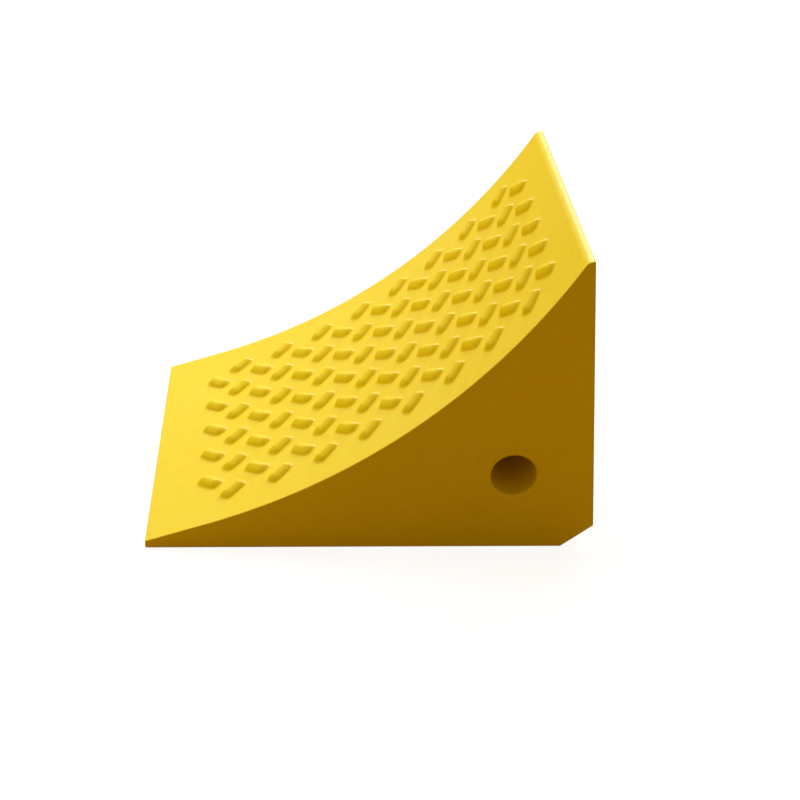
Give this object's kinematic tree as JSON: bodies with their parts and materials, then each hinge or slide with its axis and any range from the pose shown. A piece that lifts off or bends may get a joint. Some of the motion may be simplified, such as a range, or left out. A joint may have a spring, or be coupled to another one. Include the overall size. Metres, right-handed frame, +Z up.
{
  "type": "wheel chock",
  "caption": "Solid urethane wheel chock for large trucks: a wedge with a hollowed, barred tyre face, a chamfered heel and a rope bore across the heel.",
  "frame": {"origin": "on the ground, midway along the length and the width", "axes": "+X runs from the toe to the back, +Y across the width, +Z up; a tyre comes in from -X"},
  "size_m": [0.4, 0.32, 0.279],
  "materials": {
    "body_urethane": "cast urethane, satin, solid yellow right through",
    "facing_urethane": "cast urethane, satin, solid yellow right through",
    "ground_urethane": "cast urethane, satin, solid yellow right through"
  },
  "bodies": {
    "root": {"body_block": "body_urethane", "tyre_face_pad": "facing_urethane", "ground_pad": "ground_urethane"}
  },
  "joints": []
}
